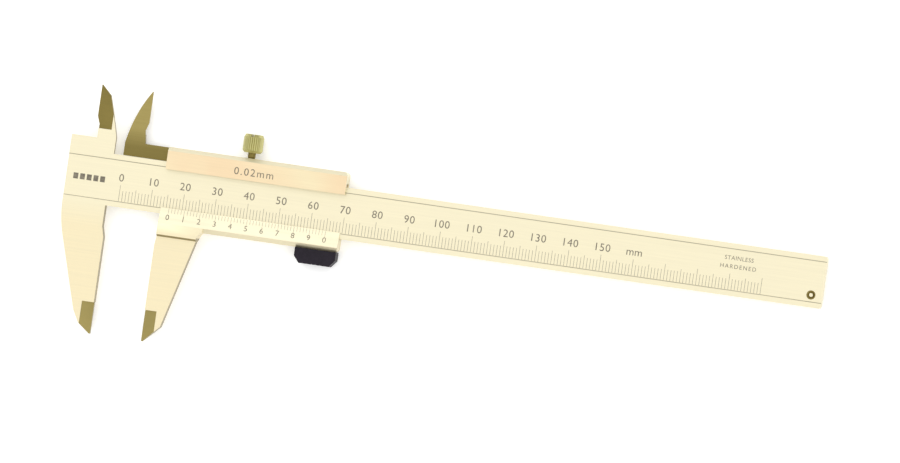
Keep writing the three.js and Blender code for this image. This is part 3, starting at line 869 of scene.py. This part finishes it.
class CALIPER_OT_lock_screw(bpy.types.Operator):
    """Lock screw: knurled knob with a slot, over a turned neck"""

    bl_idname = "caliper.lock_screw"
    bl_label = "Lock screw"

    ridges: bpy.props.IntProperty(
        name="Ridges", description="Ridges of the knurl", default=30, min=8, max=90
    )

    pitch: length("Pitch", "Pitch of the thread", 0.45 * MM)
    height: length("Height", "Height of the knob", 5.7 * MM)
    shank: length("Shank", "Radius of the shank", 1.2 * MM)

    def execute(self, context):
        centre = (KNOB_LOW + KNOB_HIGH) / 2
        radius = (KNOB_HIGH.x - KNOB_LOW.x) / 2
        top = KNOB_HIGH.y
        under = top - self.height
        shape = [(0.0, 0.80), (0.12, 1.0), (0.86, 1.0), (0.90, 0.93), (1.0, 0.865)]
        profile = [(under + self.height * rise, radius * width) for rise, width in shape]
        knob = turned("knob", centre.x, centre.z, profile, 4 * self.ridges, (4, 0.93))
        slot = box("slot", (centre.x, top, centre.z), (0.9 * MM, 1.6 * MM, 4 * radius))
        cut(knob, slot)
        bpy.data.objects.remove(slot)
        smooth(knob, 25)
        give(knob, "knurled_steel")

        shank = turned("shank", centre.x, centre.z, self.thread(KNOB_LOW.y, under), 40)
        smooth(shank, 25)
        give(shank, "ground_blade")
        piece = join([knob, shank], "lock_screw_turned")
        settle(piece, "lock_screw", "knurled_steel", "lock_screw")
        return {"FINISHED"}

    def thread(self, low, under):
        """The profile of the shank: a chamfered end, thread grooves, and a plain neck."""
        root = self.shank - 0.27 * self.pitch
        chamfer, neck, inside = 0.3 * MM, 0.9 * MM, 0.2 * MM
        start = low + chamfer
        turns = int((under - neck - start) / self.pitch)
        profile = [(low, root - 0.1 * MM), (start, self.shank)]
        for i in range(turns):
            profile.append((start + (i + 0.5) * self.pitch, root))
            profile.append((start + (i + 1.0) * self.pitch, self.shank))
        return profile + [(under + inside, self.shank)]


class CALIPER_OT_thumb_grip(bpy.types.Operator):
    """Thumb grip with rounded ridges"""

    bl_idname = "caliper.thumb_grip"
    bl_label = "Thumb grip"

    def execute(self, context):
        grip = copy_of("thumb_grip", "thumb_grip_moulded")
        give(grip, "black_grip")
        break_edges(grip, context.scene.caliper_edges.grip, 3)
        smooth(grip)
        settle(grip, "slider", "black_grip", "thumb_grip")
        return {"FINISHED"}


SMALL_PARTS = {
    "back_cover": ("slider", "satin_steel", "satin_chrome"),
    "back_cover_screw_upper_left": ("slider", "dark_steel", "plain_steel"),
    "back_cover_screw_upper_right": ("slider", "dark_steel", "plain_steel"),
    "back_cover_screw_lower_left": ("slider", "dark_steel", "plain_steel"),
    "back_cover_screw_lower_right": ("slider", "dark_steel", "plain_steel"),
    "gib_strip": ("slider", "bronze", "bronze"),
    "gib_set_screw_left": ("slider", "dark_steel", "plain_steel"),
    "gib_set_screw_right": ("slider", "dark_steel", "plain_steel"),
    "thumb_grip_screw_left": ("slider", "dark_steel", "plain_steel"),
    "thumb_grip_screw_right": ("slider", "dark_steel", "plain_steel"),
    "lock_pad": ("lock_pad", "bronze", "bronze"),
    "end_stop": ("bar", "satin_steel", "satin_chrome"),
    "end_stop_rivet": ("bar", "satin_steel", "satin_chrome"),
    "end_stop_dowel": ("bar", "dark_steel", "plain_steel"),
}


class CALIPER_OT_small_parts(bpy.types.Operator):
    """Screws, pins, gib strip, cover and end stop, with broken edges"""

    bl_idname = "caliper.small_parts"
    bl_label = "Small parts"

    def execute(self, context):
        for node, (body, slot, finish) in SMALL_PARTS.items():
            piece = copy_of(node, f"{node}_finished")
            give(piece, finish)
            break_edges(piece, context.scene.caliper_edges.small)
            if node.startswith("back_cover_screw"):
                self.cut_slot(piece, *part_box(node))
            smooth(piece)
            settle(piece, body, slot, node)
        return {"FINISHED"}


    @staticmethod
    def cut_slot(screw, low, high):
        """A screwdriver slot across a head that faces down."""
        middle = (low + high) / 2
        width, depth, turn = 0.35 * MM, 0.3 * MM, math.radians(40)
        size = (high.x - low.x, width, 2 * depth)
        slot = box("slot", (middle.x, middle.y, low.z), size, (0, 0, turn))
        cut(screw, slot)
        bpy.data.objects.remove(slot)


# ------------------------------------------------------------------ stage


def area_light(name, place, aim, size, power):
    deselect()
    bpy.ops.object.light_add(type="AREA", location=place)
    lamp = bpy.context.object
    lamp.name = name
    lamp.data.size = size
    lamp.data.energy = power
    lamp.rotation_euler = (Vector(place) - Vector(aim)).to_track_quat("Z", "Y").to_euler()


class CALIPER_OT_stage(bpy.types.Operator):
    """Floor, even sky, soft lights and camera"""

    bl_idname = "caliper.stage"
    bl_label = "Stage"

    def execute(self, context):
        stage = context.scene.caliper_stage
        middle = Vector((105.7 * MM, BAR_Y - 0.8 * MM, 0))  # what the camera and the lights look at
        floor_z = CAD_BOX[0][2]

        deselect()
        bpy.ops.mesh.primitive_plane_add(size=6, location=(middle.x, middle.y, floor_z))
        floor = bpy.context.object
        floor.name = "floor"
        apply_place(floor)
        give(floor, "floor_white")

        world = bpy.data.worlds.new("sky")
        world.use_nodes = True
        sky = Shading(world.node_tree, "Generated")
        strength = sky.fade(2, 0.0, 0.7) * (stage.sky - stage.horizon) + stage.horizon
        sky.feed(world.node_tree.nodes["Background"].inputs["Color"], (1, 1, 1, 1))
        sky.feed(world.node_tree.nodes["Background"].inputs["Strength"], strength)
        context.scene.world = world
        context.scene.view_settings.view_transform = "Standard"

        area_light("key", (-0.5, 0.9, 1.3), middle, 1.2, 4.0)
        area_light("fill", (0.9, -0.5, 1.2), middle, 1.4, 2.0)

        self.camera(context, stage, middle)
        return {"FINISHED"}

    @staticmethod
    def camera(context, stage, middle):
        back = Vector((math.sin(stage.side), 0, math.cos(stage.side)))
        across = Vector((math.cos(stage.roll), math.sin(stage.roll), 0))
        right = (across - back * across.dot(back)).normalized()
        up = back.cross(right)
        deselect()
        bpy.ops.object.camera_add(location=middle + back * stage.distance)
        camera = context.object
        camera.data.lens = 602.5
        camera.data.sensor_width = 36
        camera.data.clip_end = 20
        turn = Matrix((right, up, back)).transposed()
        camera.rotation_euler = turn.to_euler()
        context.scene.camera = camera


# ------------------------------------------------------------------ add-on


class CALIPER_PT_panel(bpy.types.Panel):
    """Sizes, colours and pieces of the caliper"""

    bl_label = "Vernier caliper"
    bl_idname = "CALIPER_PT_panel"
    bl_space_type = "VIEW_3D"
    bl_region_type = "UI"
    bl_category = "Caliper"

    def draw(self, context):
        scene = context.scene
        for group in (scene.caliper_edges, scene.caliper_scale, scene.caliper_finish, scene.caliper_stage):
            box = self.layout.box()
            for name in group.__annotations__:
                box.prop(group, name)
        for operator in OPERATORS:
            self.layout.operator(operator.bl_idname)


GROUPS = {
    "caliper_edges": CALIPER_PG_edges,
    "caliper_scale": CALIPER_PG_scale,
    "caliper_finish": CALIPER_PG_finish,
    "caliper_stage": CALIPER_PG_stage,
}
OPERATORS = (
    CALIPER_OT_stage,
    CALIPER_OT_bar,
    CALIPER_OT_slider,
    CALIPER_OT_bar_scale,
    CALIPER_OT_vernier,
    CALIPER_OT_marks,
    CALIPER_OT_lock_screw,
    CALIPER_OT_thumb_grip,
    CALIPER_OT_small_parts,
)


def register():
    for cls in (*GROUPS.values(), *OPERATORS, CALIPER_PT_panel):
        bpy.utils.register_class(cls)
    for name, group in GROUPS.items():
        setattr(bpy.types.Scene, name, bpy.props.PointerProperty(type=group))


def unregister():
    for name in GROUPS:
        delattr(bpy.types.Scene, name)
    for cls in (CALIPER_PT_panel, *reversed(OPERATORS), *reversed(GROUPS.values())):
        bpy.utils.unregister_class(cls)


def main():
    register()
    for operator in OPERATORS:
        group, name = operator.bl_idname.split(".")
        getattr(getattr(bpy.ops, group), name)()


if __name__ == "__main__":
    main()
